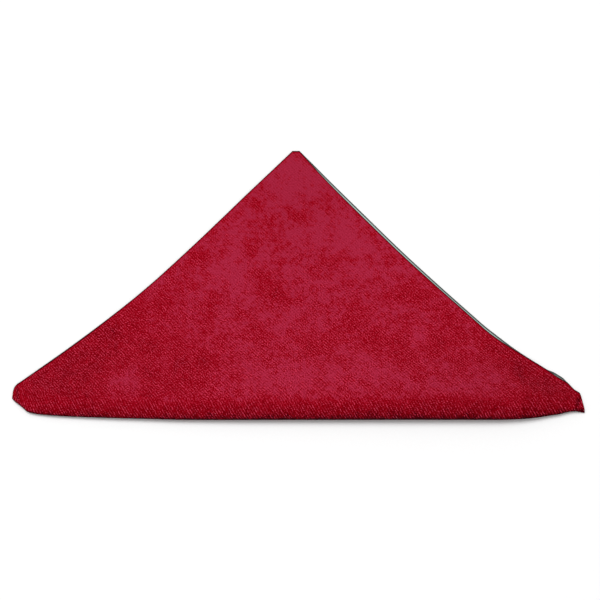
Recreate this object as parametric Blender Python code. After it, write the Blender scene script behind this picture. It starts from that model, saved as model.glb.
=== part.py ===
"""Microfibre cleaning cloth, 400 mm square, folded once corner to corner and laid down.

The under layer lies flat. The fold is a soft roll along the front, and the top layer falls from it and lies on
the under layer, with its point at the back. Metres, +Z up, +X along the fold.
"""

import math

import bmesh
import bpy
from mathutils import Matrix, Vector

MM = 0.001

# The sheet
SHEET = 1.2 * MM
LAYER_GAP = 0.4 * MM
LAID_HEIGHT = 2 * SHEET + LAYER_GAP

# Plan and height of the folded cloth, one row for each station along the fold, in millimetres:
# along  place along the fold, 0 under the point
# front  how far the front of the roll stands back from its foremost line
# edge   how far back the cut edge of the top layer lies
# peek   how far the under layer shows behind the top one
# height height of the roll
# depth  distance from the front of the roll to its crest
# fall   distance over which the top layer comes down behind the crest
COLUMNS = ("along", "front", "edge", "peek", "height", "depth", "fall")
LEFT_HALF = (
    (-6.0, 0.0, 284.0, 0.5, 22.0, 21.0, 90.0),
    (-50.0, 0.0, 239.4, 0.6, 21.0, 20.5, 88.0),
    (-110.0, 0.3, 179.0, 0.6, 18.0, 18.0, 82.0),
    (-152.0, 1.4, 137.6, 0.6, 16.0, 16.0, 72.0),
    (-192.0, 2.6, 103.8, 0.6, 14.0, 14.5, 58.0),
    (-234.0, 4.4, 71.0, 0.6, 11.0, 12.0, 40.0),
    (-256.0, 6.2, 54.8, 0.6, 9.0, 9.5, 28.0),
    (-267.0, 8.4, 46.8, 0.5, 7.8, 7.5, 20.0),
    (-273.0, 13.0, 42.4, 0.5, 7.0, 5.8, 15.0),
    (-278.0, 17.0, 38.6, 0.5, 6.2, 4.2, 11.0),
    (-279.8, 18.2, 37.0, 0.5, 4.6, 1.9, 8.0),
    (-282.5, 20.6, 32.6, 0.4, 3.8, 1.2, 4.0),
    (-284.0, 23.0, 28.8, 0.3, 3.6, 1.1, 2.0),
)
RIGHT_HALF = (
    (1.3, 0.0, 284.0, 0.5, 22.0, 21.0, 90.0),
    (22.0, 0.0, 259.6, 2.6, 22.5, 21.0, 90.0),
    (71.0, 0.0, 206.2, 4.6, 23.0, 21.5, 90.0),
    (110.0, 0.0, 167.6, 3.2, 23.5, 22.0, 86.0),
    (176.0, 0.0, 104.6, 3.2, 23.0, 21.5, 66.0),
    (194.0, 0.0, 87.4, 4.6, 22.0, 20.5, 56.0),
    (218.0, 0.8, 71.0, 1.8, 19.5, 18.5, 44.0),
    (236.0, 2.6, 60.2, 0.5, 16.0, 15.0, 34.0),
    (248.0, 4.6, 52.4, 0.5, 13.5, 12.5, 28.0),
    (257.0, 6.0, 46.8, 2.4, 11.5, 10.0, 22.0),
    (268.0, 8.0, 38.6, 1.2, 9.0, 7.0, 14.0),
    (276.0, 9.8, 31.4, 0.6, 7.5, 4.2, 9.0),
    (278.0, 9.8, 29.4, 0.6, 4.8, 2.0, 6.0),
    (281.5, 8.8, 24.6, 0.5, 3.8, 1.2, 4.0),
    (284.0, 8.2, 16.0, 0.3, 3.6, 1.1, 2.0),
)

# Soft swells where the top layer doesn't lie quite flat, in millimetres and degrees
SWELL_COLUMNS = ("along", "back", "length", "width", "turn", "lift")
SWELLS = (
    (-95.0, 118.0, 70.0, 26.0, 28.0, 1.6),
    (-10.0, 176.0, 60.0, 30.0, -52.0, 1.3),
    (84.0, 132.0, 64.0, 24.0, -38.0, 1.7),
    (20.0, 92.0, 90.0, 22.0, 6.0, 1.1),
    (-188.0, 66.0, 46.0, 16.0, 34.0, 1.2),
    (186.0, 62.0, 44.0, 15.0, -30.0, 1.2),
    (4.0, 246.0, 26.0, 14.0, 60.0, 0.9),
)

# Cross-section of the roll: its foremost line stands at NOSE_SHARE of its height, and it leaves the surface at
# UNDER_SHARE of its depth. Where it is pinched flat, both halves are alike.
FULL_ROLL_HEIGHT = 12 * MM
NOSE_SHARE = (0.5, 0.34)
UNDER_SHARE = (1.0, 0.45)
SHOULDER_POWER = (2.0, 1.75)

# How finely the sheet is divided
STATIONS_PER_HALF = 31
STATION_CROWDING = 1.5
UNDER_STEPS = 4
UNDER_ROLL_STEPS = 5
UPPER_ROLL_STEPS = 9
FALL_STEPS = 9
LAID_STEPS = 6

FACE_RED = (0.36, 0.012, 0.035, 1.0)
FACE_ROUGHNESS = 0.9


def steepness(xs, ys):
    """Slopes for a curve through the points that never swings past them."""
    gaps = [b - a for a, b in zip(xs, xs[1:])]
    rises = [(b - a) / gap for a, b, gap in zip(ys, ys[1:], gaps)]
    slopes = [rises[0]]
    for before, after in zip(rises, rises[1:]):
        if before * after <= 0.0:
            slopes.append(0.0)
        else:
            slopes.append(2.0 * before * after / (before + after))
    slopes.append(rises[-1])
    return slopes


def between(xs, ys, x):
    """Value at x on the smooth curve through the points."""
    slopes = steepness(xs, ys)
    last = len(xs) - 2
    i = 0
    while i < last and x > xs[i + 1]:
        i += 1
    gap = xs[i + 1] - xs[i]
    s = min(max((x - xs[i]) / gap, 0.0), 1.0)
    start = (1 + 2 * s) * (1 - s) ** 2 * ys[i] + s * (1 - s) ** 2 * gap * slopes[i]
    end = s * s * (3 - 2 * s) * ys[i + 1] - s * s * (1 - s) * gap * slopes[i + 1]
    return start + end


def station(along):
    """The named sizes of the folded cloth at one place along the fold, in metres."""
    half = LEFT_HALF if along < 0.0 else RIGHT_HALF
    rows = sorted(half)
    places = [row[0] for row in rows]
    sizes = {}
    for column, name in enumerate(COLUMNS):
        sizes[name] = between(places, [row[column] for row in rows], along) * MM
    sizes["along"] = along * MM
    return sizes


def stations():
    """Places along the fold, from the left tip to the right one, closer together towards the tips."""
    found = []
    for half, side in ((LEFT_HALF, -1), (RIGHT_HALF, 1)):
        inner = half[0][0]
        outer = half[-1][0]
        places = []
        for i in range(STATIONS_PER_HALF):
            left_over = 1.0 - i / (STATIONS_PER_HALF - 1)
            places.append(inner + (outer - inner) * (1.0 - left_over**STATION_CROWDING))
        found += places[::side]
    return found


def swell(along, back):
    """How far the top layer is lifted by its soft swells at a place in plan, in metres."""
    lift = 0.0
    for row in SWELLS:
        fold = dict(zip(SWELL_COLUMNS, row))
        turn = math.radians(fold["turn"])
        dx = along / MM - fold["along"]
        dy = back / MM - fold["back"]
        lengthwise = (dx * math.cos(turn) + dy * math.sin(turn)) / fold["length"]
        crosswise = (dy * math.cos(turn) - dx * math.sin(turn)) / fold["width"]
        lift += fold["lift"] * MM * math.exp(-(lengthwise**2) - crosswise**2)
    return lift


def ease(s):
    """1 at 0, 0 at 1, level at both ends."""
    return (1.0 - s) ** 2 * (1.0 + 2.0 * s)


def roll(front, depth, low, high):
    """The roll's middle line, from where it leaves the surface round to just short of its crest."""
    fullness = min((high - low) / (FULL_ROLL_HEIGHT - SHEET), 1.0)
    nose_share, under_share, power = (
        flat + (full - flat) * fullness for flat, full in (NOSE_SHARE, UNDER_SHARE, SHOULDER_POWER)
    )
    nose = low + (high - low) * nose_share
    under_depth = depth * under_share
    line = []
    for i in range(UNDER_ROLL_STEPS):
        angle = math.pi / 2 * i / UNDER_ROLL_STEPS
        y = front + under_depth * (1.0 - math.sin(angle))
        line.append((y, nose - (nose - low) * math.cos(angle)))
    for i in range(UPPER_ROLL_STEPS):
        angle = math.pi / 2 * i / UPPER_ROLL_STEPS
        y = front + depth * (1.0 - math.cos(angle) ** (2.0 / power))
        line.append((y, nose + (high - nose) * math.sin(angle) ** (2.0 / power)))
    return line


def section(sizes):
    """Middle line of the sheet at one station, from the under layer's cut edge round to the top layer's."""
    half = SHEET / 2
    front = sizes["front"] + half
    crest = front + sizes["depth"]
    high = sizes["height"] - half
    laid = LAID_HEIGHT - half
    edge = sizes["edge"]
    roll_line = roll(front, sizes["depth"], half, high)
    under_edge = edge + sizes["peek"]
    lift_off = roll_line[0][0]
    line = []
    for i in range(UNDER_STEPS):
        s = i / UNDER_STEPS
        line.append((under_edge + (lift_off - under_edge) * s, half))
    line += roll_line
    fall = min(sizes["fall"], 0.8 * (edge - crest))
    steps = [i / FALL_STEPS * fall for i in range(FALL_STEPS)]
    steps += [fall + i / LAID_STEPS * (edge - crest - fall) for i in range(LAID_STEPS + 1)]
    for behind in steps:
        s = min(behind / fall, 1.0)
        lift = swell(sizes["along"], crest + behind) * (1.0 - ease(s))
        line.append((crest + behind, laid + (high - laid) * ease(s) + lift))
    return [Vector((sizes["along"], y, z)) for y, z in line]


def outward(line, j):
    """Direction out of the cloth's outer face at one point of a section, in the section's own plane."""
    across = line[min(j + 1, len(line) - 1)] - line[max(j - 1, 0)]
    return Vector((0.0, -across.z, across.y)).normalized()


def sheet_mesh(name, grid):
    """A closed sheet of even thickness around the grid of its middle points, level underneath."""
    bm = bmesh.new()
    outer = []
    inner = []
    for i, line in enumerate(grid):
        outer.append([])
        inner.append([])
        for j, point in enumerate(line):
            out = Vector((0, 0, -1)) if j <= UNDER_STEPS else outward(line, j)
            outer[i].append(bm.verts.new(point + out * SHEET / 2))
            inner[i].append(bm.verts.new(point - out * SHEET / 2))
    rows = len(grid)
    columns = len(grid[0])
    for i in range(rows - 1):
        for j in range(columns - 1):
            for side in (outer, inner):
                bm.faces.new((side[i][j], side[i][j + 1], side[i + 1][j + 1], side[i + 1][j]))
    rim = [(i, 0) for i in range(rows)]
    rim += [(rows - 1, j) for j in range(1, columns)]
    rim += [(i, columns - 1) for i in range(rows - 2, -1, -1)]
    rim += [(0, j) for j in range(columns - 2, 0, -1)]
    for (i, j), (m, n) in zip(rim, rim[1:] + rim[:1]):
        bm.faces.new((outer[i][j], outer[m][n], inner[m][n], inner[i][j]))
    bmesh.ops.recalc_face_normals(bm, faces=bm.faces)
    mesh = bpy.data.meshes.new(name)
    bm.to_mesh(mesh)
    bm.free()
    return mesh


def suede_microfibre():
    material = bpy.data.materials.new("suede_microfibre")
    material.use_nodes = True
    shader = material.node_tree.nodes["Principled BSDF"]
    shader.inputs["Base Color"].default_value = FACE_RED
    shader.inputs["Roughness"].default_value = FACE_ROUGHNESS
    shader.inputs["Metallic"].default_value = 0.0
    return material


def clear_scene():
    for thing in list(bpy.data.objects):
        bpy.data.objects.remove(thing, do_unlink=True)


def centre_of(mesh):
    """The point on the ground under the middle of the cloth's box."""
    middle = []
    for axis in range(2):
        places = [vertex.co[axis] for vertex in mesh.vertices]
        middle.append((min(places) + max(places)) / 2)
    return Vector((middle[0], middle[1], 0.0))


def main():
    clear_scene()
    grid = [section(station(along)) for along in stations()]
    mesh = sheet_mesh("cloth", grid)
    mesh.transform(Matrix.Translation(-centre_of(mesh)))
    cloth = bpy.data.objects.new("cloth", mesh)
    cloth.data.materials.append(suede_microfibre())
    bpy.context.scene.collection.objects.link(cloth)
    mesh.shade_smooth()


main()
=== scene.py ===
"""Microfibre cleaning cloth, folded corner to corner: its sheet, its finishes and the studio it lies in.

The cloth is a square of suede-like knit, folded on its diagonal. The under layer lies flat, the fold is a
soft roll along the front, and the top layer falls from it and lies on the under layer. Metres, +Z up, +X
along the fold.
"""

import math

import bpy
from mathutils import Matrix, Vector


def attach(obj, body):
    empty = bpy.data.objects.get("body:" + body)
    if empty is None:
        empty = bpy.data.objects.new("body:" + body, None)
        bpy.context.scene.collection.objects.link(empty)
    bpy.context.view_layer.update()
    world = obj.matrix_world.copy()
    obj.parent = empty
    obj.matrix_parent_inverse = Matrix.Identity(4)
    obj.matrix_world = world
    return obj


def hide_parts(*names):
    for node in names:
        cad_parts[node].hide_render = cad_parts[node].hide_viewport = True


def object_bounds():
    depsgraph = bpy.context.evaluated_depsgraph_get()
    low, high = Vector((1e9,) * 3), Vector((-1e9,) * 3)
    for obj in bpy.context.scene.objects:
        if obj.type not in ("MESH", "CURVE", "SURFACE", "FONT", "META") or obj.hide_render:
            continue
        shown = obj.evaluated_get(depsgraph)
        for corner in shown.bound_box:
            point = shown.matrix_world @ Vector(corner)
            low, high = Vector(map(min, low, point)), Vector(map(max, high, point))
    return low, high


bl_info = {
    "name": "Folded microfibre cloth",
    "version": (1, 0, 0),
    "blender": (4, 5, 0),
    "location": "3D View > Sidebar > Cloth",
    "description": "A square suede-like cleaning cloth, folded corner to corner, and its studio",
    "category": "Add Mesh",
}

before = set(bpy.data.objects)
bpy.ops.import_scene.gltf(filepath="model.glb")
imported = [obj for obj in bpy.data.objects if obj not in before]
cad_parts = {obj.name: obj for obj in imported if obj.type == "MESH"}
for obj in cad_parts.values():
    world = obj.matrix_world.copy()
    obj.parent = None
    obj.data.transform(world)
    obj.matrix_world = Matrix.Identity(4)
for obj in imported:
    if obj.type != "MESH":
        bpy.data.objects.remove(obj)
CAD_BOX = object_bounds()

MM = 0.001

# Plan and height of the folded cloth, one row for each station along the fold, in millimetres:
# along  place along the fold, 0 under the point
# front  how far the front of the roll stands back from its foremost line
# edge   how far back the cut edge of the top layer lies
# peek   how far the under layer shows behind the top one
# height height of the roll
# depth  distance from the front of the roll to its crest
# fall   distance over which the top layer comes down behind the crest
COLUMNS = ("along", "front", "edge", "peek", "height", "depth", "fall")
LEFT_HALF = (
    (-6.0, 0.0, 284.0, 0.5, 22.0, 21.0, 90.0),
    (-50.0, 0.0, 239.6, 0.2, 21.0, 20.5, 88.0),
    (-110.0, 0.3, 178.8, 0.2, 18.0, 18.0, 82.0),
    (-152.0, 1.4, 138.3, 0.2, 16.0, 16.0, 72.0),
    (-192.0, 2.6, 104.0, 0.7, 14.0, 14.5, 58.0),
    (-234.0, 4.4, 70.8, 1.0, 11.0, 12.0, 40.0),
    (-256.0, 6.2, 54.6, 0.9, 9.0, 9.5, 28.0),
    (-267.0, 8.4, 46.8, 0.5, 7.8, 7.5, 20.0),
    (-273.0, 13.0, 42.4, 0.5, 7.0, 5.8, 15.0),
    (-278.0, 17.0, 38.8, 0.5, 6.2, 4.2, 11.0),
    (-279.8, 18.2, 37.6, 0.5, 4.6, 1.9, 8.0),
    (-282.5, 20.6, 34.6, 0.4, 3.4, 1.8, 5.0),
    (-284.0, 22.4, 30.0, 0.3, 3.0, 1.7, 4.0),
)
RIGHT_HALF = (
    (1.3, 0.0, 284.0, 0.5, 22.0, 21.0, 90.0),
    (22.0, 0.0, 259.6, 3.0, 22.5, 21.0, 90.0),
    (71.0, 0.0, 207.25, 4.1, 23.0, 21.5, 90.0),
    (110.0, 0.0, 167.65, 3.7, 23.5, 22.0, 86.0),
    (176.0, 0.0, 105.0, 3.2, 23.0, 21.5, 66.0),
    (194.0, 0.0, 88.4, 3.6, 22.0, 20.5, 56.0),
    (218.0, 0.8, 71.6, 1.4, 19.5, 18.5, 44.0),
    (236.0, 2.6, 60.2, 0.5, 16.0, 15.0, 34.0),
    (248.0, 4.6, 52.4, 0.5, 13.5, 12.5, 28.0),
    (257.0, 6.0, 46.0, 2.7, 11.5, 10.0, 22.0),
    (264.0, 7.6, 41.5, 2.6, 9.9, 8.1, 17.0),
    (268.0, 8.6, 39.0, 0.8, 9.0, 7.0, 14.0),
    (276.0, 9.3, 31.0, 0.5, 7.5, 4.2, 9.0),
    (278.0, 9.1, 29.8, 0.5, 4.8, 2.5, 6.0),
    (280.9, 8.8, 27.6, 0.5, 3.7, 1.9, 5.0),
    (282.1, 8.6, 22.4, 0.5, 3.3, 1.6, 4.6),
    (284.0, 8.2, 14.0, 0.3, 3.0, 1.4, 4.0),
)

# Columns of the next four tables, which hold soft oval marks, in millimetres and degrees:
# along, back    where the mark's middle is, along the fold and back from it
# length, width  how far it reaches each way
# turn           which way its length points
# strength       what it adds in its middle
MARK_COLUMNS = ("along", "back", "length", "width", "turn", "strength")

# Soft swells where the top layer doesn't lie quite flat: their lift
SWELLS = (
    (-95.0, 118.0, 70.0, 26.0, 28.0, 1.6),
    (-10.0, 176.0, 60.0, 30.0, -52.0, 1.3),
    (84.0, 132.0, 64.0, 24.0, -38.0, 1.7),
    (20.0, 92.0, 90.0, 22.0, 6.0, 1.1),
    (-188.0, 66.0, 46.0, 16.0, 34.0, 1.2),
    (186.0, 62.0, 44.0, 15.0, -30.0, 1.2),
    (4.0, 246.0, 26.0, 14.0, 60.0, 0.9),
)

# Creases in the top layer, as narrow troughs: their depth, below 0. They stay shallower than the air between
# the layers. Their depth also opens the nap along them, which paints shade in the creases.
CREASES = (
    (277.8, 18.5, 9.0, 2.2, 67.0, -0.2),
    (282.4, 12.5, 10.0, 3.0, 75.0, -0.1),
    (-278.4, 26.0, 8.0, 1.6, 104.0, -0.16),
    (220.0, 48.0, 18.0, 5.0, 104.0, -0.03),
    (238.0, 26.0, 22.0, 4.0, -24.0, -0.03),
)

# Where the nap was brushed by hand: it lies open and dark (above 0), or smooth and pale (below 0)
STROKES = (
    (-51.0, 228.0, 18.0, 10.0, -30.0, 0.40),
    (-30.0, 197.0, 13.0, 11.0, 40.0, 0.35),
    (0.0, 213.0, 12.0, 9.0, -60.0, 0.35),
    (26.0, 226.0, 16.0, 10.0, 0.0, 0.30),
    (-47.0, 174.0, 24.0, 7.0, 80.0, 0.25),
    (-104.0, 168.0, 20.0, 11.0, 45.0, 0.30),
    (-26.0, 133.0, 23.0, 11.0, -50.0, 0.60),
    (34.0, 165.0, 24.0, 9.0, 0.0, 0.28),
    (118.0, 131.0, 26.0, 13.0, -12.0, 0.45),
    (57.0, 111.0, 13.0, 12.0, 0.0, 0.45),
    (18.0, 74.0, 18.0, 12.0, 20.0, 0.50),
    (66.0, 84.0, 26.0, 9.0, -14.0, 0.40),
    (100.0, 68.0, 26.0, 11.0, -45.0, 0.50),
    (140.0, 78.0, 14.0, 12.0, 0.0, 0.60),
    (155.0, 101.0, 15.0, 10.0, -40.0, 0.40),
    (111.0, 98.0, 11.0, 10.0, 0.0, 0.25),
    (168.0, 62.0, 20.0, 9.0, 0.0, 0.30),
    (197.0, 76.0, 19.0, 11.0, -30.0, 0.60),
    (-87.0, 114.0, 14.0, 10.0, 0.0, 0.30),
    (-138.0, 119.0, 18.0, 10.0, 40.0, 0.40),
    (-42.0, 92.0, 18.0, 10.0, -50.0, 0.30),
    (-28.0, 60.0, 14.0, 9.0, 0.0, 0.25),
    (-176.0, 98.0, 24.0, 11.0, 35.0, 0.45),
    (-192.0, 76.0, 24.0, 16.0, 20.0, 0.55),
    (-148.0, 76.0, 17.0, 15.0, 0.0, 0.60),
    (-104.0, 58.0, 26.0, 15.0, 15.0, 0.65),
    (-150.0, 38.0, 12.0, 18.0, 0.0, 0.50),
    (-112.0, 34.0, 30.0, 12.0, 0.0, 0.45),
    (-224.0, 44.0, 30.0, 18.0, 15.0, 0.60),
    (-66.0, 154.0, 20.0, 17.0, 0.0, -0.35),
    (-4.0, 250.0, 22.0, 16.0, 0.0, -0.35),
    (48.0, 187.0, 30.0, 15.0, -45.0, -0.25),
    (4.0, 190.0, 14.0, 14.0, 0.0, -0.20),
    (-14.0, 106.0, 16.0, 14.0, 0.0, -0.20),
    (126.0, 90.0, 7.0, 15.0, 0.0, -0.25),
    (-12.0, 41.0, 34.0, 13.0, 0.0, -0.40),
    (-178.0, 37.0, 28.0, 12.0, 6.0, -0.62),
    (62.0, 52.0, 30.0, 15.0, 0.0, -0.15),
    (126.0, 38.0, 50.0, 10.0, 0.0, -0.10),
    (190.0, 34.0, 26.0, 12.0, 0.0, -0.25),
    # Painted shade on the right tip's facet that slopes away from the light
    (236.0, 46.0, 34.0, 13.0, -42.0, 0.33),
    # Painted highlight on the small facet at the right tip's front
    (232.0, 26.0, 22.0, 6.0, -17.0, -0.45),
)

# Painted shade that darkens the nap a little towards the ends of the fold and at the back point: the share
# of the shade colour
PAINTED_SHADES = (
    (-205.0, 26.0, 70.0, 34.0, 0.0, 0.07),
    (180.0, 28.0, 80.0, 30.0, 0.0, 0.13),
    (262.0, 28.0, 30.0, 25.0, -30.0, 0.08),
    (0.0, 250.0, 60.0, 80.0, 0.0, 0.11),
)

# How much further open the nap stands towards the tips: place along the fold in millimetres, and how much
TIP_NAP = (
    (-284.0, 0.6),
    (-200.0, 0.56),
    (-165.0, 0.2),
    (-110.0, 0.08),
    (-50.0, 0.0),
    (80.0, 0.0),
    # From here to the right tip the opening also stands in for painted shade, where the cloth slopes away
    # from the light
    (200.0, 0.15),
    (212.0, 0.4),
    (224.0, 0.85),
    (276.0, 0.85),
    (284.0, 0.3),
)

# Cross-section of the roll: its foremost line stands at NOSE_SHARE of its height, and it leaves the
# surface at UNDER_SHARE of its depth. The first value of each is for a roll pinched flat, the second for
# a full one.
FULL_ROLL_HEIGHT = 12 * MM
NOSE_SHARE = (0.5, 0.34)
UNDER_SHARE = (1.0, 0.45)
SHOULDER_POWER = (2.0, 1.75)

# How finely the sheet is divided. Its rows crowd towards the cut edges, where it thins.
STATIONS_PER_HALF = 118
STATION_CROWDING = 1.3
EDGE_ROWS = (0.0, 0.25, 0.6, 1.1, 1.8)
UNDER_STEPS = 22
UNDER_ROLL_STEPS = 9
UPPER_ROLL_STEPS = 22
TOP_STEPS = 76

# Which point of each section stands on the roll's foremost line
NOSE_INDEX = len(EDGE_ROWS) + UNDER_STEPS - 1 + UNDER_ROLL_STEPS

# In a section, the edge rows draw together where a layer is narrow, the top layer comes down within
# FALL_SHARE of its width, and it is wholly free to wave from FREE_BEHIND behind the crest on.
EDGE_ROWS_SHARE = 0.2
FALL_SHARE = 0.8
FREE_BEHIND = 10 * MM

# The waves' fixed seed, and how far their noise is spread about its middle
WAVE_SEED = 7.0
WAVE_SPREAD = 4.0

# Two points of the sheet that lie closer than this are one
MERGE_DISTANCE = 0.001 * MM

# Half the fold's length, which is also how far back the point lies, in millimetres
FOLD_REACH = 284.0

# How far open the nap stands, from 0 for smooth: by the fold, how much less at the point, the most on the
# flat, over the bend, on the roll's foremost line, how much more of that at the right tip, and where the
# fold is tucked under. Over the bend the opening is partly the nap's own look and partly painted shade; on
# the roll's foremost line and where the fold is tucked under it is painted shade. A crease's depth is
# multiplied by the last of these, as it looks deeper than the sheet lets it be: this paints shade along the
# crease.
FLAT_NAP = 0.46
POINT_NAP_LOSS = 0.25
MOST_FLAT_NAP = 1.3
BEND_NAP = 0.9
NOSE_SHADE_NAP = 1.12
RIGHT_NOSE_SHADE_GAIN = 0.42
TUCKED_SHADE_NAP = 1.7
CREASE_SHADE_NAP = 8.0

# How far the nap of the bend, the painted shade of the foremost line and that of the tucked part reach along
# the sheet, as shares of the roll's depth, and the least that two of them reach. A roll shallower than
# FULL_NOSE_DEPTH gets less of the foremost line's painted shade.
BEND_REACH = 1.22
LEAST_BEND_REACH = 23 * MM
BEND_SHARPNESS = 8
NOSE_REACH = 0.7
FULL_NOSE_DEPTH = 17 * MM
TUCKED_PLACE = 0.04
TUCKED_REACH = 0.2
LEAST_TUCKED_REACH = 2.6 * MM

# How far open the nap stands where it turns from smooth to open
OPENED = (1.8, 2.6)

# Its looks as it stands further open: where each begins, where it is complete and how much of it shows then
NAP_LOOKS = {
    "parted": (2.5, 3.7, 0.8),
    "combed_up": (2.8, 3.6, 1.8),
    # Painted shade that turns the valleys near black
    "deep_valley_shade": (3.4, 4.0, 0.8),
    # Painted shade, reached mostly on the roll's front and where the fold is tucked under
    "shade_under_fold": (4.1, 4.9, 0.9),
}

# Distance from one to the next in the patterns of the finishes
BLOTCH = 14 * MM
SPECKLE = 4 * MM
TUFT = 1.0 * MM
STREAK = 2.0 * MM
REVERSE_SPECK = 3 * MM
PAPER_TOOTH = 2.5 * MM

# How strongly the blotches and the speckles open the nap
BLOTCH_STRENGTH = 2.0
SPECKLE_STRENGTH = 1.6

# Directions of the ribs on the flat and over the bend, and of the fainter set across them, in degrees
RIB_TURNS = (-45.0, -29.0, 52.0)

# Streaks along a rib: their scale along it, how sharply they break it and how much of it they take away
STREAK_STRETCH = 0.4
STREAK_CONTRAST = 5.6
STREAK_LOSS = -1.9

# How much of the set across and of the tufts shows on the flat and over the bend
ACROSS_SHARE = (0.25, 0.05)
TUFT_SHARE = (10.0, 7.0)

# How much of the knit's relief shows through smooth and through open nap, and its height on the face and the
# reverse
RELIEF_SHOWN = (0.22, 0.76)
RELIEF_HEIGHT = 0.3 * MM
REVERSE_RELIEF_HEIGHT = 0.2 * MM

# How far open and parted nap narrow the bright ridges, and how much more the valleys show than the ridges
OPEN_NARROWING = -0.55
PARTED_NARROWING = -0.6
VALLEY_STRENGTH = -2.0

# Between these distances from the fold, the ribs grow calmer, down to this share
CALMING = (60 * MM, 220 * MM)
CALM_SHARE = 0.45

# Looks beside the cut: how far in each is whole, how far in it ends and how much of it shows at the cut
CLIPPED = (2.0 * MM, 3.6 * MM, 0.7)
CUT_FACE = (1.3 * MM, 2.0 * MM, 0.82)
CUT_REVERSE = (1.9 * MM, 2.3 * MM, 0.95)

# Shares of the reverse's colour that are left between its ribs and on its cut edge, and how much of the
# first shows
REVERSE_SHADE = 0.62
REVERSE_CUT_SHADE = 0.1
REVERSE_RIB_SHARE = 0.3

# Tints of the little gloss and sheen that the nap has, and the two whites of the floor's paper
GLOSS_TINT = "#C03048"
SHEEN_TINT = "#C84058"
PAPER_WHITES = ("#F4F4F4", "#F1F1F1")

# The studio in metres: half the floor's side, the point that the camera looks at, and the two soft lights
FLOOR_REACH = 6.0
LOOK_AT = (2.0 * MM, -17.7 * MM, 0.0)
SENSOR_WIDTH_MM = 36.0
KEY_PLACE = (-0.9, 1.3, 4.6)
FILL_PLACE = (1.0, -3.0, 3.2)
LIGHT_SIZE = (2.6, 2.6)


def linear(hex_colour):
    """An sRGB hex colour as the linear numbers that shaders use."""
    value = hex_colour.lstrip("#")
    shares = [int(value[i : i + 2], 16) / 255 for i in (0, 2, 4)]
    return [s / 12.92 if s <= 0.04045 else ((s + 0.055) / 1.055) ** 2.4 for s in shares]


class ClothSizes(bpy.types.PropertyGroup):
    """Sizes of the sheet and its knit."""

    thickness: bpy.props.FloatProperty(
        name="Thickness", description="Thickness of the sheet",
        default=1.2 * MM, unit="LENGTH", precision=4,
    )
    layer_gap: bpy.props.FloatProperty(
        name="Layer gap", description="Air between the two layers",
        default=0.4 * MM, unit="LENGTH", precision=4,
    )
    edge_share: bpy.props.FloatProperty(
        name="Edge share", description="Thickness left at the cut edge",
        default=0.4, min=0.1, max=1.0, subtype="FACTOR",
    )
    edge_width: bpy.props.FloatProperty(
        name="Edge width", description="How far in the cut edge thins",
        default=1.6 * MM, unit="LENGTH", precision=4,
    )
    unevenness: bpy.props.FloatProperty(
        name="Unevenness", description="How far the cloth waves",
        default=0.35 * MM, unit="LENGTH", precision=4,
    )
    wave: bpy.props.FloatProperty(
        name="Wave", description="Distance from one wave to the next",
        default=34 * MM, unit="LENGTH",
    )
    rib: bpy.props.FloatProperty(
        name="Rib", description="Distance between the knit's ribs, as drawn",
        default=2.45 * MM, unit="LENGTH", precision=4,
    )


class ClothColours(bpy.types.PropertyGroup):
    """Colours of the cloth."""

    # Nap brushed flat: its pale pink is partly its own colour and partly a painted sheen
    smooth_nap_and_sheen: bpy.props.FloatVectorProperty(
        name="Smooth nap", description="Nap brushed flat",
        subtype="COLOR", default=linear("#9E213B"), min=0, max=1,
    )
    open_nap: bpy.props.FloatVectorProperty(
        name="Open nap", description="Nap standing open",
        subtype="COLOR", default=linear("#970417"), min=0, max=1,
    )
    # A painted highlight on the ridges of the ribs, where fibre tips catch the light
    tips: bpy.props.FloatVectorProperty(
        name="Tips", description="Fibre tips along the ribs",
        subtype="COLOR", default=linear("#D03A57"), min=0, max=1,
    )
    ground: bpy.props.FloatVectorProperty(
        name="Ground", description="Knit between the ribs",
        subtype="COLOR", default=linear("#7A0009"), min=0, max=1,
    )
    # Near-black: the dark cut edge, and painted shade under the tucked fold and deep in the open valleys
    depths: bpy.props.FloatVectorProperty(
        name="Depths", description="Cut edge and tucked fold",
        subtype="COLOR", default=linear("#2E0006"), min=0, max=1,
    )
    clipped_nap: bpy.props.FloatVectorProperty(
        name="Clipped nap", description="Nap beside the cut",
        subtype="COLOR", default=linear("#9C0216"), min=0, max=1,
    )
    # Colour of the painted shade that darkens the ends of the fold and the back point
    shade_colour: bpy.props.FloatVectorProperty(
        name="Handled", description="Dulled by handling",
        subtype="COLOR", default=linear("#5A0812"), min=0, max=1,
    )
    reverse: bpy.props.FloatVectorProperty(
        name="Reverse", description="Unbrushed inner side",
        subtype="COLOR", default=linear("#AFC1BB"), min=0, max=1,
    )


class StageSettings(bpy.types.PropertyGroup):
    """The camera and the lights."""

    elevation: bpy.props.FloatProperty(
        name="Camera elevation", description="Angle above the floor",
        default=math.radians(75), subtype="ANGLE",
    )
    distance: bpy.props.FloatProperty(
        name="Camera distance", description="Distance from the cloth", default=1.6, unit="LENGTH"
    )
    lens: bpy.props.FloatProperty(name="Lens", description="Focal length in mm", default=94.85)
    key_power: bpy.props.FloatProperty(
        name="Key light", description="Power of the light overhead and a little behind",
        default=165.0, subtype="POWER",
    )
    fill_power: bpy.props.FloatProperty(
        name="Fill light", description="Power of the light in front",
        default=18.0, subtype="POWER",
    )
    surround: bpy.props.FloatProperty(
        name="Surround", description="Strength of the pale room light", default=0.5, min=0
    )


def slopes_of(xs, ys):
    """Slopes for a curve through the points that never swings past them."""
    rises = [(y2 - y1) / (x2 - x1) for x1, x2, y1, y2 in zip(xs, xs[1:], ys, ys[1:])]
    slopes = [rises[0]]
    for before, after in zip(rises, rises[1:]):
        slopes.append(0.0 if before * after <= 0.0 else 2.0 * before * after / (before + after))
    slopes.append(rises[-1])
    return slopes


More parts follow.
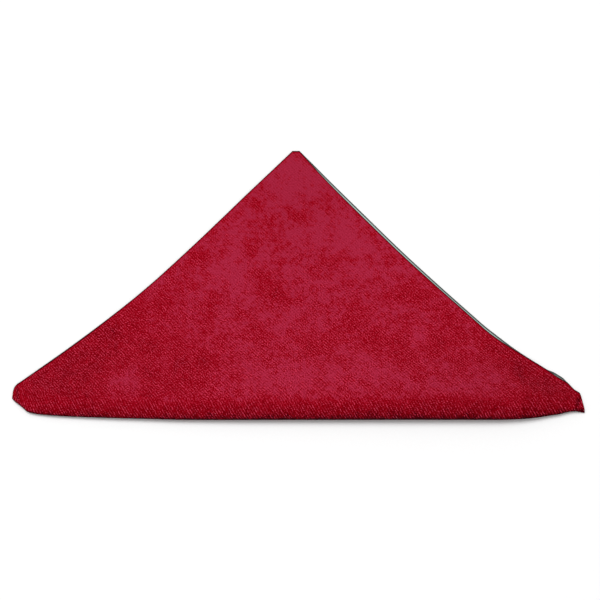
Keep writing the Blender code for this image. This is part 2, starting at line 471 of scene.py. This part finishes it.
def between(xs, ys, slopes, x):
    """Value at x on the smooth curve through the points."""
    i = 0
    while i < len(xs) - 2 and x > xs[i + 1]:
        i += 1
    gap = xs[i + 1] - xs[i]
    s = min(max((x - xs[i]) / gap, 0.0), 1.0)
    start = (1 + 2 * s) * (1 - s) ** 2 * ys[i] + s * (1 - s) ** 2 * gap * slopes[i]
    end = s * s * (3 - 2 * s) * ys[i + 1] - s * s * (1 - s) * gap * slopes[i + 1]
    return start + end


def station(along):
    """The named sizes of the folded cloth at one place along the fold, in metres."""
    rows = sorted(LEFT_HALF if along < 0.0 else RIGHT_HALF)
    places = [row[0] for row in rows]
    sizes = {"along": along * MM}
    for column, name in enumerate(COLUMNS[1:], start=1):
        values = [row[column] for row in rows]
        sizes[name] = between(places, values, slopes_of(places, values), along) * MM
    return sizes


def stations():
    """Places along the fold, from the left tip to the right one, closer together towards the tips."""
    found = []
    for half, side in ((LEFT_HALF, -1), (RIGHT_HALF, 1)):
        inner = half[0][0]
        outer = half[-1][0]
        places = []
        for i in range(STATIONS_PER_HALF):
            left_over = 1.0 - i / (STATIONS_PER_HALF - 1)
            places.append(inner + (outer - inner) * (1.0 - left_over**STATION_CROWDING))
        found += places[::side]
    return found


def soft_marks(table, along, back):
    """Sum of the strengths of a table's soft oval marks at a place in plan."""
    total = 0.0
    for row in table:
        mark = dict(zip(MARK_COLUMNS, row))
        turn = math.radians(mark["turn"])
        dx = along / MM - mark["along"]
        dy = back / MM - mark["back"]
        lengthwise = (dx * math.cos(turn) + dy * math.sin(turn)) / mark["length"]
        crosswise = (dy * math.cos(turn) - dx * math.sin(turn)) / mark["width"]
        total += mark["strength"] * math.exp(-(lengthwise**2) - crosswise**2)
    return total


def ease(s):
    """1 at 0, 0 at 1, level at both ends."""
    return (1.0 - s) ** 2 * (1.0 + 2.0 * s)


def roll(front, depth, low, high):
    """The roll's middle line, from where it leaves the surface round to just short of its crest."""
    fullness = min((high - low) / (FULL_ROLL_HEIGHT - 2 * low), 1.0)
    nose_share, under_share, power = (
        flat + (full - flat) * fullness for flat, full in (NOSE_SHARE, UNDER_SHARE, SHOULDER_POWER)
    )
    nose = low + (high - low) * nose_share
    line = []
    for i in range(UNDER_ROLL_STEPS):
        angle = math.pi / 2 * i / UNDER_ROLL_STEPS
        y = front + depth * under_share * (1.0 - math.sin(angle))
        line.append((y, nose - (nose - low) * math.cos(angle)))
    for i in range(UPPER_ROLL_STEPS):
        angle = math.pi / 2 * i / UPPER_ROLL_STEPS
        y = front + depth * (1.0 - math.cos(angle) ** (2.0 / power))
        line.append((y, nose + (high - nose) * math.sin(angle) ** (2.0 / power)))
    return line


def section(sizes, cloth):
    """The sheet's middle line at one station, from the under layer's cut edge round to the top layer's.

    Each point is how far back and how high it lies, and how free it is to wave.
    """
    half = cloth.thickness / 2
    front = sizes["front"] + half
    crest = front + sizes["depth"]
    high = sizes["height"] - half
    laid = 2 * cloth.thickness + cloth.layer_gap - half
    edge = sizes["edge"]
    under_edge = edge + sizes["peek"]
    roll_line = roll(front, sizes["depth"], half, high)
    lift_off = roll_line[0][0]
    margin = min(1.0, EDGE_ROWS_SHARE * (under_edge - lift_off) / MM)
    edge_rows = [row * margin * MM for row in EDGE_ROWS]
    line = [(under_edge - row, half, 0.0) for row in edge_rows]
    start = line[-1][0]
    for i in range(1, UNDER_STEPS):
        line.append((start + (lift_off - start) * i / UNDER_STEPS, half, 0.0))
    line += [(y, z, 0.0) for y, z in roll_line]

    fall = min(sizes["fall"], FALL_SHARE * (edge - crest))
    reach = edge - crest
    last = reach - edge_rows[-1]
    steps = [last * i / TOP_STEPS for i in range(TOP_STEPS)]
    steps += [reach - row for row in reversed(edge_rows)]
    for behind in steps:
        y = crest + behind
        raised = ease(min(behind / fall, 1.0))
        swell = soft_marks(SWELLS, sizes["along"], y) * MM
        crease = soft_marks(CREASES, sizes["along"], y) * MM
        z = laid + (high - laid) * raised + swell * (1.0 - raised) + crease
        line.append((y, z, min(behind / FREE_BEHIND, 1.0)))
    return line


def open_nap(sizes, y, beyond_nose, bend):
    """How far the nap stands open: little on the flat, and more over the roll and towards the tips."""
    along = sizes["along"]
    depth = sizes["depth"]
    places, values = zip(*TIP_NAP)
    towards_tip = between(places, values, slopes_of(places, values), along / MM)
    # The nose and tucked terms paint shade on the roll's front and its underside, and the crease term paints
    # shade along creases
    nose_shade = min(depth / FULL_NOSE_DEPTH, NOSE_SHADE_NAP + RIGHT_NOSE_SHADE_GAIN * (along / MM) / FOLD_REACH)
    nose = math.exp(-((beyond_nose / (NOSE_REACH * depth)) ** 2)) * nose_shade
    tucked_reach = max(TUCKED_REACH * depth, LEAST_TUCKED_REACH)
    tucked = math.exp(-(((beyond_nose + TUCKED_PLACE * depth) / tucked_reach) ** 2))
    strokes = 0.0
    crease_shade = 0.0
    if beyond_nose > 0.0:
        strokes = soft_marks(STROKES, along, y)
        crease_shade = soft_marks(CREASES, along, y)
    flat = min(FLAT_NAP - POINT_NAP_LOSS * y / (FOLD_REACH * MM) + towards_tip + strokes, MOST_FLAT_NAP)
    return max(flat, BEND_NAP * bend) + nose + TUCKED_SHADE_NAP * tucked - CREASE_SHADE_NAP * crease_shade


class Sheet:
    """The middle surface of the folded cloth as a grid of points, with what each one carries."""

    def __init__(self, cloth):
        self.points = []
        self.places = []
        self.carried = {"edge_gap": [], "free": [], "nap": [], "bend": [], "painted_shade": []}
        for along in stations():
            sizes = station(along)
            line = section(sizes, cloth)
            self.add_line(sizes, line)
        self.width = len(line)
        self.rows = len(self.points) // self.width

    def add_line(self, sizes, line):
        """Add one station's points, each with its place on the flat cloth and what its looks need."""
        along = sizes["along"]
        bend_reach = max(BEND_REACH * sizes["depth"], LEAST_BEND_REACH)
        lengths = [0.0]
        for (y1, z1, _), (y2, z2, _) in zip(line, line[1:]):
            lengths.append(lengths[-1] + math.hypot(y2 - y1, z2 - z1))
        for (y, z, free), length in zip(line, lengths):
            beyond_nose = length - lengths[NOSE_INDEX]
            bend = math.exp(-((beyond_nose / bend_reach) ** BEND_SHARPNESS))
            self.points.append(Vector((along, y, z)))
            self.places.append((along, beyond_nose))
            self.carried["edge_gap"].append(min(length, lengths[-1] - length))
            self.carried["free"].append(free)
            self.carried["nap"].append(open_nap(sizes, y, beyond_nose, bend))
            self.carried["bend"].append(bend)
            # Share of painted shade at this point
            self.carried["painted_shade"].append(soft_marks(PAINTED_SHADES, along, y))


def middle_mesh(name, sheet):
    """The middle surface as a mesh, with the cloth's own flat places as its UV map, in metres."""
    faces = []
    for i in range(sheet.rows - 1):
        for j in range(sheet.width - 1):
            a = i * sheet.width + j
            faces.append((a, a + sheet.width, a + sheet.width + 1, a + 1))
    mesh = bpy.data.meshes.new(name)
    mesh.from_pydata(sheet.points, [], faces)
    uv = mesh.uv_layers.new(name="cloth")
    for loop in mesh.loops:
        uv.data[loop.index].uv = sheet.places[loop.vertex_index]
    for attribute, values in sheet.carried.items():
        mesh.attributes.new(attribute, "FLOAT", "POINT").data.foreach_set("value", values)
    return mesh


def fill(tree, node, inputs):
    """Give a node's inputs a value, an output to link from, or a list of outputs where several go in."""
    for key, value in inputs.items():
        for source in value if isinstance(value, list) else [value]:
            if isinstance(source, bpy.types.NodeSocket):
                tree.links.new(source, node.inputs[key])
            else:
                node.inputs[key].default_value = source


def add(tree, kind, inputs=None, out=0, **settings):
    """A new node of this kind with its settings and inputs, and the output that is wanted from it."""
    node = tree.nodes.new(kind)
    for name, value in settings.items():
        setattr(node, name, value)
    fill(tree, node, inputs or {})
    return node.outputs[out] if node.outputs else None


def sheet_tree():
    """Geometry nodes that give the middle surface soft waves and a thickness, thinner at the cut edges."""
    tree = bpy.data.node_groups.new("Soft sheet", "GeometryNodeTree")
    tree.is_modifier = True
    sockets = tree.interface
    sockets.new_socket("Geometry", in_out="OUTPUT", socket_type="NodeSocketGeometry")
    sockets.new_socket("Geometry", in_out="INPUT", socket_type="NodeSocketGeometry")
    for name in ("Thickness", "Edge share", "Edge width", "Unevenness", "Wave", "Seed"):
        sockets.new_socket(name, in_out="INPUT", socket_type="NodeSocketFloat")
    for name in ("Face", "Reverse"):
        sockets.new_socket(name, in_out="INPUT", socket_type="NodeSocketMaterial")
    given = add(tree, "NodeGroupInput").node.outputs
    edge_gap = add(tree, "GeometryNodeInputNamedAttribute", {"Name": "edge_gap"}, data_type="FLOAT")
    free = add(tree, "GeometryNodeInputNamedAttribute", {"Name": "free"}, data_type="FLOAT")
    normal = add(tree, "GeometryNodeInputNormal")

    # Waves, only where the cloth is free of the surface
    position = add(tree, "GeometryNodeInputPosition")
    scale = add(tree, "ShaderNodeMath", {0: 1.0, 1: given["Wave"]}, operation="DIVIDE")
    noise = add(
        tree, "ShaderNodeTexNoise",
        {"Vector": position, "W": given["Seed"], "Scale": scale, "Detail": 2.0, "Roughness": 0.45},
        noise_dimensions="4D",
    )
    wave = add(
        tree, "ShaderNodeMath", {0: noise, 1: WAVE_SPREAD, 2: -WAVE_SPREAD / 2}, operation="MULTIPLY_ADD"
    )
    freed = add(tree, "ShaderNodeMath", {0: wave, 1: free}, operation="MULTIPLY")
    height = add(tree, "ShaderNodeMath", {0: freed, 1: given["Unevenness"]}, operation="MULTIPLY")
    waved = add(tree, "ShaderNodeVectorMath", {0: normal, "Scale": height}, operation="SCALE")
    surface = add(tree, "GeometryNodeSetPosition", {"Geometry": given["Geometry"], "Offset": waved})

    # Thickness, rounded off towards the cut edge
    inward = add(
        tree, "ShaderNodeMath", {0: edge_gap, 1: given["Edge width"]},
        operation="DIVIDE", use_clamp=True,
    )
    left = add(tree, "ShaderNodeMath", {0: 1.0, 1: inward}, operation="SUBTRACT")
    squared = add(tree, "ShaderNodeMath", {0: left, 1: left}, operation="MULTIPLY")
    rest = add(tree, "ShaderNodeMath", {0: 1.0, 1: squared}, operation="SUBTRACT")
    round_off = add(tree, "ShaderNodeMath", {0: rest}, operation="SQRT")
    share = add(tree, "ShaderNodeMapRange", {"Value": round_off, "To Min": given["Edge share"]})
    thickness = add(tree, "ShaderNodeMath", {0: share, 1: given["Thickness"]}, operation="MULTIPLY")
    half_down = add(tree, "ShaderNodeMath", {0: thickness, 1: -0.5}, operation="MULTIPLY")
    down = add(tree, "ShaderNodeVectorMath", {0: normal, "Scale": half_down}, operation="SCALE")
    inner = add(tree, "GeometryNodeSetPosition", {"Geometry": surface, "Offset": down})

    # The outer face and the rim, closed by the inner face
    outer = add(
        tree, "GeometryNodeExtrudeMesh",
        {"Mesh": inner, "Offset Scale": thickness, "Individual": False},
    )
    flipped = add(tree, "GeometryNodeFlipFaces", {"Mesh": inner})
    back = add(
        tree, "GeometryNodeStoreNamedAttribute", {"Geometry": flipped, "Name": "reverse", "Value": True},
        data_type="BOOLEAN", domain="FACE",
    )
    both = add(tree, "GeometryNodeJoinGeometry", {"Geometry": [outer, back]})
    closed = add(tree, "GeometryNodeMergeByDistance", {"Geometry": both, "Distance": MERGE_DISTANCE})
    smooth = add(tree, "GeometryNodeSetShadeSmooth", {"Geometry": closed})
    is_back = add(tree, "GeometryNodeInputNamedAttribute", {"Name": "reverse"}, data_type="BOOLEAN")
    real = add(tree, "GeometryNodeRealizeInstances", {"Geometry": smooth})
    faced = add(tree, "GeometryNodeSetMaterial", {"Geometry": real, "Material": given["Face"]})
    backed = add(
        tree, "GeometryNodeSetMaterial",
        {"Geometry": faced, "Selection": is_back, "Material": given["Reverse"]},
    )
    add(tree, "NodeGroupOutput", {"Geometry": backed})
    return tree


def grown_sheet(middle, cloth, face, reverse):
    """The middle surface after the soft sheet tree, as a plain mesh."""
    holder = bpy.data.objects.new("middle_surface", middle)
    bpy.context.scene.collection.objects.link(holder)
    modifier = holder.modifiers.new("Soft sheet", "NODES")
    modifier.node_group = sheet_tree()
    values = {
        "Thickness": cloth.thickness,
        "Edge share": cloth.edge_share,
        "Edge width": cloth.edge_width,
        "Unevenness": cloth.unevenness,
        "Wave": cloth.wave,
        "Seed": WAVE_SEED,
        "Face": face,
        "Reverse": reverse,
    }
    for item in modifier.node_group.interface.items_tree:
        if item.name in values:
            modifier[item.identifier] = values[item.name]
    graph = bpy.context.evaluated_depsgraph_get()
    grown = holder.evaluated_get(graph)
    mesh = bpy.data.meshes.new_from_object(grown, preserve_all_data_layers=True, depsgraph=graph)
    bpy.data.objects.remove(holder, do_unlink=True)
    return mesh


def centre_on_solid(mesh):
    """Move the mesh in plan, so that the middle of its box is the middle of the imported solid's."""
    corners = [vertex.co for vertex in mesh.vertices]
    shift = Vector((0.0, 0.0, 0.0))
    for axis in range(2):
        own = (min(co[axis] for co in corners) + max(co[axis] for co in corners)) / 2
        shift[axis] = (CAD_BOX[0][axis] + CAD_BOX[1][axis]) / 2 - own
    mesh.transform(Matrix.Translation(shift))


def rgba(colour):
    """A colour that hides all behind it, as the nodes take it."""
    return (*colour, 1.0)


def rib_scale(distance):
    """Scale of a wave texture whose bands lie this far apart."""
    return math.pi / (10.0 * distance)


def new_material(name):
    """A new material, with its tree and its shader."""
    material = bpy.data.materials.new(name)
    material.use_nodes = True
    return material, material.node_tree, material.node_tree.nodes["Principled BSDF"]


def nap_standing(tree, place):
    """How far the nap stands open: as the sheet carries it, then with blotches and finer speckles."""
    nap = add(tree, "ShaderNodeAttribute", out="Fac", attribute_name="nap")
    blotches = add(
        tree, "ShaderNodeTexNoise",
        {"Vector": place, "Scale": 1 / BLOTCH, "Detail": 3.0, "Roughness": 0.65},
    )
    speckles = add(tree, "ShaderNodeTexNoise", {"Vector": place, "Scale": 1 / SPECKLE, "Detail": 2.0})
    blotched = add(
        tree, "ShaderNodeMath", {0: blotches, 1: BLOTCH_STRENGTH, 2: nap}, operation="MULTIPLY_ADD"
    )
    return add(
        tree, "ShaderNodeMath", {0: speckles, 1: SPECKLE_STRENGTH, 2: blotched}, operation="MULTIPLY_ADD"
    )


def knit_relief(tree, place, rib):
    """Relief of the knit under the nap, centred on 0.

    Its ribs run at 45 degrees to the fold, the bend turns them steeper, and a fainter set lies across them.
    Each set is broken into streaks along its length. Over them lies a grain of single tufts.
    """
    bend = add(tree, "ShaderNodeAttribute", out="Fac", attribute_name="bend")
    ribbed = []
    for turn in RIB_TURNS:
        turned = (0.0, 0.0, math.radians(turn))
        knit = add(tree, "ShaderNodeMapping", {"Vector": place, "Rotation": turned})
        wave = add(
            tree, "ShaderNodeTexWave",
            {"Vector": knit, "Scale": rib_scale(rib), "Distortion": 2.2, "Detail": 1.0,
             "Detail Scale": 2.0, "Detail Roughness": 0.6},
            out="Fac", wave_type="BANDS", bands_direction="X",
        )
        combed = add(tree, "ShaderNodeMapping", {"Vector": knit, "Scale": (1.0, STREAK_STRETCH, 1.0)})
        breaks = add(tree, "ShaderNodeTexNoise", {"Vector": combed, "Scale": 1 / STREAK, "Detail": 1.0})
        swing = add(tree, "ShaderNodeMath", {0: wave, 1: 2.0, 2: -1.0}, operation="MULTIPLY_ADD")
        kept = add(
            tree, "ShaderNodeMath", {0: breaks, 1: STREAK_CONTRAST, 2: STREAK_LOSS},
            operation="MULTIPLY_ADD",
        )
        ribbed.append(add(tree, "ShaderNodeMath", {0: swing, 1: kept}, operation="MULTIPLY"))
    ribs = add(tree, "ShaderNodeMix", {"Factor": bend, "A": ribbed[0], "B": ribbed[1]}, out="Result")
    across_share = add(
        tree, "ShaderNodeMapRange",
        {"Value": bend, "To Min": ACROSS_SHARE[0], "To Max": ACROSS_SHARE[1]},
    )
    weave = add(
        tree, "ShaderNodeMix", {"Factor": across_share, "A": ribs, "B": ribbed[2]}, out="Result"
    )
    tufts = add(tree, "ShaderNodeTexNoise", {"Vector": place, "Scale": 1 / TUFT, "Detail": 1.0})
    centred = add(tree, "ShaderNodeMath", {0: tufts, 1: 1.0, 2: -0.5}, operation="MULTIPLY_ADD")
    tuft_share = add(
        tree, "ShaderNodeMapRange", {"Value": bend, "To Min": TUFT_SHARE[0], "To Max": TUFT_SHARE[1]}
    )
    grain = add(tree, "ShaderNodeMath", {0: centred, 1: tuft_share}, operation="MULTIPLY")
    return add(tree, "ShaderNodeMath", {0: weave, 1: grain}, operation="ADD")


def face_material(colours, cloth):
    """Brushed suede microfibre: split fibres raised from a warp knit, darker or paler as they are wiped.

    The nap is matt and nearly without gloss. Where it lies smooth it is paler and hides the knit: the paler
    colour is partly the nap's own and partly a painted sheen. Where it stands open the ribs show, with the
    deeper red of the ground between them. The real ribs are about 1.1 mm apart, too fine for a picture of
    the whole cloth, so they are drawn at about twice that.
    """
    material, tree, shader = new_material("brushed_suede_microfibre")
    place = add(tree, "ShaderNodeUVMap", uv_map="cloth")
    edge_gap = add(tree, "ShaderNodeAttribute", out="Fac", attribute_name="edge_gap")
    stood = nap_standing(tree, place)
    rough = knit_relief(tree, place, cloth.rib)

    # The looks that come one after the other as the nap stands further open
    opened = add(
        tree, "ShaderNodeMapRange", {"Value": stood, "From Min": OPENED[0], "From Max": OPENED[1]},
        interpolation_type="SMOOTHSTEP",
    )
    looks = {}
    for name, (begins, complete, most) in NAP_LOOKS.items():
        looks[name] = add(
            tree, "ShaderNodeMapRange",
            {"Value": stood, "From Min": begins, "From Max": complete, "To Max": most},
        )

    # How much of the knit's relief shows: more where the nap stands open, less towards the point
    raised = add(
        tree, "ShaderNodeMapRange",
        {"Value": opened, "To Min": RELIEF_SHOWN[0], "To Max": RELIEF_SHOWN[1]},
    )
    strength = add(tree, "ShaderNodeMath", {0: raised, 1: looks["combed_up"]}, operation="ADD")
    from_fold = add(tree, "ShaderNodeSeparateXYZ", {"Vector": place}, out="Y")
    calmer = add(
        tree, "ShaderNodeMapRange",
        {"Value": from_fold, "From Min": CALMING[0], "From Max": CALMING[1],
         "To Min": 1.0, "To Max": CALM_SHARE},
    )
    shown = add(tree, "ShaderNodeMath", {0: strength, 1: calmer}, operation="MULTIPLY")
    relief = add(tree, "ShaderNodeMath", {0: rough, 1: shown}, operation="MULTIPLY")

    # Open nap narrows the ridges and bares the valleys between them. The paler ridges, whose tips catch the
    # light, are a painted highlight; the valleys show the knit's darker ground with painted shade, near
    # black where the nap stands furthest open.
    sunk = add(
        tree, "ShaderNodeMath", {0: opened, 1: OPEN_NARROWING, 2: rough}, operation="MULTIPLY_ADD"
    )
    narrowed = add(
        tree, "ShaderNodeMath", {0: looks["parted"], 1: PARTED_NARROWING, 2: sunk},
        operation="MULTIPLY_ADD",
    )
    ridge_highlight = add(
        tree, "ShaderNodeMath", {0: narrowed, 1: shown}, operation="MULTIPLY", use_clamp=True
    )
    valley = add(
        tree, "ShaderNodeMath", {0: relief, 1: VALLEY_STRENGTH}, operation="MULTIPLY", use_clamp=True
    )
    valley_shade = add(
        tree, "ShaderNodeMix",
        {"Factor": looks["deep_valley_shade"], "A": rgba(colours.ground), "B": rgba(colours.depths)},
        out="Result", data_type="RGBA",
    )

    # Painted shade darkens the nap a little towards the ends of the fold and at the back point. Beside the
    # cut it is clipped short and shows a clearer red, and the cut itself is dark.
    painted_shade = add(tree, "ShaderNodeAttribute", out="Fac", attribute_name="painted_shade")
    beside_cut = []
    for whole, ends, most in (CLIPPED, CUT_FACE):
        beside_cut.append(add(
            tree, "ShaderNodeMapRange",
            {"Value": edge_gap, "From Min": whole, "From Max": ends, "To Min": most, "To Max": 0.0},
        ))

    # Each colour is laid over the ones before it, as far as its share says
    colour = add(
        tree, "ShaderNodeMix",
        {"Factor": opened, "A": rgba(colours.smooth_nap_and_sheen), "B": rgba(colours.open_nap)},
        out="Result", data_type="RGBA",
    )
    for share, laid_over in (
        (looks["parted"], rgba(colours.ground)),
        # Painted highlight on the ridges, then the valleys' darker ground with painted shade
        (ridge_highlight, rgba(colours.tips)),
        (valley, valley_shade),
        # Painted shade under the fold and on the roll's front
        (looks["shade_under_fold"], rgba(colours.depths)),
        (painted_shade, rgba(colours.shade_colour)),
        (beside_cut[0], rgba(colours.clipped_nap)),
        (beside_cut[1], rgba(colours.depths)),
    ):
        colour = add(
            tree, "ShaderNodeMix", {"Factor": share, "A": colour, "B": laid_over},
            out="Result", data_type="RGBA",
        )
    bump = add(tree, "ShaderNodeBump", {"Height": relief, "Distance": RELIEF_HEIGHT, "Strength": 0.5})
    finish = {
        "Base Color": colour,
        "Normal": bump,
        "Roughness": 0.92,
        "Specular IOR Level": 0.03,
        "Specular Tint": rgba(linear(GLOSS_TINT)),
        "Sheen Weight": 0.01,
        "Sheen Roughness": 0.5,
        "Sheen Tint": rgba(linear(SHEEN_TINT)),
    }
    fill(tree, shader, finish)
    return material


def reverse_material(colours, cloth):
    """Unbrushed reverse of the warp knit: flat and pale, with ribs drawn as coarse as the face's."""
    material, tree, shader = new_material("plain_knit_reverse")
    place = add(tree, "ShaderNodeUVMap", uv_map="cloth")
    turned = (0.0, 0.0, math.radians(RIB_TURNS[0]))
    knit = add(tree, "ShaderNodeMapping", {"Vector": place, "Rotation": turned})
    ribs = add(
        tree, "ShaderNodeTexWave", {"Vector": knit, "Scale": rib_scale(cloth.rib), "Distortion": 1.0},
        out="Fac", wave_type="BANDS", bands_direction="X",
    )
    specks = add(tree, "ShaderNodeTexNoise", {"Vector": place, "Scale": 1 / REVERSE_SPECK})
    summed = add(tree, "ShaderNodeMath", {0: ribs, 1: specks}, operation="ADD")
    shade = add(tree, "ShaderNodeMath", {0: summed, 1: REVERSE_RIB_SHARE}, operation="MULTIPLY")
    darker = [REVERSE_SHADE * share for share in colours.reverse]
    flat = add(
        tree, "ShaderNodeMix", {"Factor": shade, "A": rgba(colours.reverse), "B": rgba(darker)},
        out="Result", data_type="RGBA",
    )
    edge_gap = add(tree, "ShaderNodeAttribute", out="Fac", attribute_name="edge_gap")
    whole, ends, most = CUT_REVERSE
    cut = add(
        tree, "ShaderNodeMapRange",
        {"Value": edge_gap, "From Min": whole, "From Max": ends, "To Min": most, "To Max": 0.0},
    )
    darkest = [REVERSE_CUT_SHADE * share for share in colours.reverse]
    colour = add(
        tree, "ShaderNodeMix", {"Factor": cut, "A": flat, "B": rgba(darkest)},
        out="Result", data_type="RGBA",
    )
    bump = add(
        tree, "ShaderNodeBump", {"Height": ribs, "Distance": REVERSE_RELIEF_HEIGHT, "Strength": 0.5}
    )
    finish = {"Base Color": colour, "Normal": bump, "Roughness": 0.9, "Specular IOR Level": 0.1}
    fill(tree, shader, finish)
    return material


class CLOTH_OT_sheet(bpy.types.Operator):
    """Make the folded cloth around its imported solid"""

    bl_idname = "cloth.make_sheet"
    bl_label = "Folded cloth"
    bl_options = {"REGISTER", "UNDO"}

    def execute(self, context):
        sizes = context.scene.cloth_sizes
        colours = context.scene.cloth_colours
        middle = middle_mesh("middle_surface", Sheet(sizes))
        face = face_material(colours, sizes)
        mesh = grown_sheet(middle, sizes, face, reverse_material(colours, sizes))
        mesh.name = "folded_cloth"
        centre_on_solid(mesh)
        cloth = bpy.data.objects.new("folded_cloth", mesh)
        context.scene.collection.objects.link(cloth)
        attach(cloth, "root")
        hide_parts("cloth")
        return {"FINISHED"}


def aimed(name, data, place, target):
    """A camera or light that looks from its place at the target."""
    thing = bpy.data.objects.new(name, data)
    thing.location = place
    thing.rotation_euler = (Vector(target) - Vector(place)).to_track_quat("-Z", "Y").to_euler()
    bpy.context.scene.collection.objects.link(thing)
    return thing


def soft_light(name, place, power):
    """A large, soft light, aimed at the middle of the cloth."""
    light = bpy.data.lights.new(name, "AREA")
    light.shape = "RECTANGLE"
    light.size, light.size_y = LIGHT_SIZE
    light.energy = power
    return aimed(name, light, place, (0.0, 0.0, 0.0))


def floor_material():
    """Matt white paper sweep: even and without gloss."""
    material, tree, shader = new_material("matt_white_paper")
    place = add(tree, "ShaderNodeTexCoord", out="Object")
    tooth = add(tree, "ShaderNodeTexNoise", {"Vector": place, "Scale": 1 / PAPER_TOOTH})
    paler, darker = (rgba(linear(white)) for white in PAPER_WHITES)
    colour = add(
        tree, "ShaderNodeMix", {"Factor": tooth, "A": paler, "B": darker},
        out="Result", data_type="RGBA",
    )
    fill(tree, shader, {"Base Color": colour, "Roughness": 0.95, "Specular IOR Level": 0.1})
    return material


class CLOTH_OT_stage(bpy.types.Operator):
    """Make the pale floor, the camera and the soft lights"""

    bl_idname = "cloth.make_stage"
    bl_label = "Studio"
    bl_options = {"REGISTER", "UNDO"}

    def execute(self, context):
        scene = context.scene
        stage = scene.cloth_stage
        signs = ((-1, -1), (1, -1), (1, 1), (-1, 1))
        mesh = bpy.data.meshes.new("floor")
        mesh.from_pydata([(x * FLOOR_REACH, y * FLOOR_REACH, 0.0) for x, y in signs], [], [(0, 1, 2, 3)])
        mesh.materials.append(floor_material())
        floor = bpy.data.objects.new("floor", mesh)
        scene.collection.objects.link(floor)

        camera = bpy.data.cameras.new("camera")
        camera.lens = stage.lens
        camera.sensor_width = SENSOR_WIDTH_MM
        target = Vector(LOOK_AT)
        back = Vector((0.0, -math.cos(stage.elevation), math.sin(stage.elevation)))
        scene.camera = aimed("camera", camera, target + back * stage.distance, target)

        soft_light("key", KEY_PLACE, stage.key_power)
        soft_light("fill", FILL_PLACE, stage.fill_power)
        world = bpy.data.worlds.new("pale_room")
        world.use_nodes = True
        background = world.node_tree.nodes["Background"]
        background.inputs["Color"].default_value = (1.0, 1.0, 1.0, 1.0)
        background.inputs["Strength"].default_value = stage.surround
        scene.world = world
        scene.view_settings.view_transform = "Standard"
        return {"FINISHED"}


class CLOTH_PT_panel(bpy.types.Panel):
    """Lists the cloth's sizes, its colours and what can be made"""

    bl_label = "Folded microfibre cloth"
    bl_idname = "CLOTH_PT_panel"
    bl_space_type = "VIEW_3D"
    bl_region_type = "UI"
    bl_category = "Cloth"

    def draw(self, context):
        layout = self.layout
        for name in GROUPS:
            group = getattr(context.scene, name)
            box = layout.box()
            for size in group.__annotations__:
                box.prop(group, size)
        for operator in OPERATORS:
            layout.operator(operator.bl_idname)


OPERATORS = (CLOTH_OT_sheet, CLOTH_OT_stage)
GROUPS = {"cloth_sizes": ClothSizes, "cloth_colours": ClothColours, "cloth_stage": StageSettings}


def register():
    """Make the properties, the operators and the panel known to Blender."""
    for group in GROUPS.values():
        bpy.utils.register_class(group)
    for name, group in GROUPS.items():
        setattr(bpy.types.Scene, name, bpy.props.PointerProperty(type=group))
    for thing in (*OPERATORS, CLOTH_PT_panel):
        bpy.utils.register_class(thing)


def unregister():
    """Take them away again, the last one first."""
    for thing in reversed((*OPERATORS, CLOTH_PT_panel)):
        bpy.utils.unregister_class(thing)
    for name in GROUPS:
        delattr(bpy.types.Scene, name)
    for group in reversed(GROUPS.values()):
        bpy.utils.unregister_class(group)


def main():
    """Make the cloth and its studio."""
    register()
    bpy.ops.cloth.make_sheet()
    bpy.ops.cloth.make_stage()


if __name__ == "__main__":
    main()
